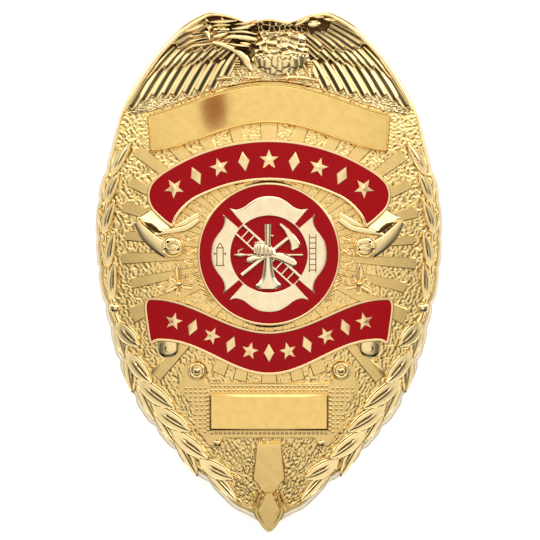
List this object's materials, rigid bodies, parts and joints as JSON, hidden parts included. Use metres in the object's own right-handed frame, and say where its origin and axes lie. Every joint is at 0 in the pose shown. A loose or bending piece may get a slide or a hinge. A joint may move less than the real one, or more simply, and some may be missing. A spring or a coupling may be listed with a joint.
{
  "type": "firefighter badge",
  "caption": "Domed gold-plated breast badge with an eagle crest, arched blank name panel, two enamelled ribbons, a round seal, laurel border and a blank number plate.",
  "frame": {"origin": "middle of the badge's outline, on the plane that its rim stands on", "axes": "+Z out of the badge's face, +Y towards the eagle crest, X across the badge"},
  "size_m": [0.0508, 0.0762, 0.0073],
  "materials": {
    "gold_plate": "bright gold plate, mirror polished on the raised work and stippled on the ground",
    "pale_gold": "pale gold plate, satin bright",
    "red_enamel": "glossy flat red enamel",
    "pin_metal": "gold-plated wire and lugs, bright"
  },
  "bodies": {
    "root": {"shield_body": "gold_plate", "eagle_crest": "gold_plate", "name_panel": "gold_plate", "upper_ribbon": "gold_plate", "upper_enamel": "red_enamel", "lower_ribbon": "gold_plate", "lower_enamel": "red_enamel", "seal_disc": "pale_gold", "seal_enamel": "red_enamel", "emblem_enamel": "red_enamel", "emblem_tools": "pale_gold", "number_plate": "gold_plate", "pin_clasp": "pin_metal"}
  },
  "joints": []
}
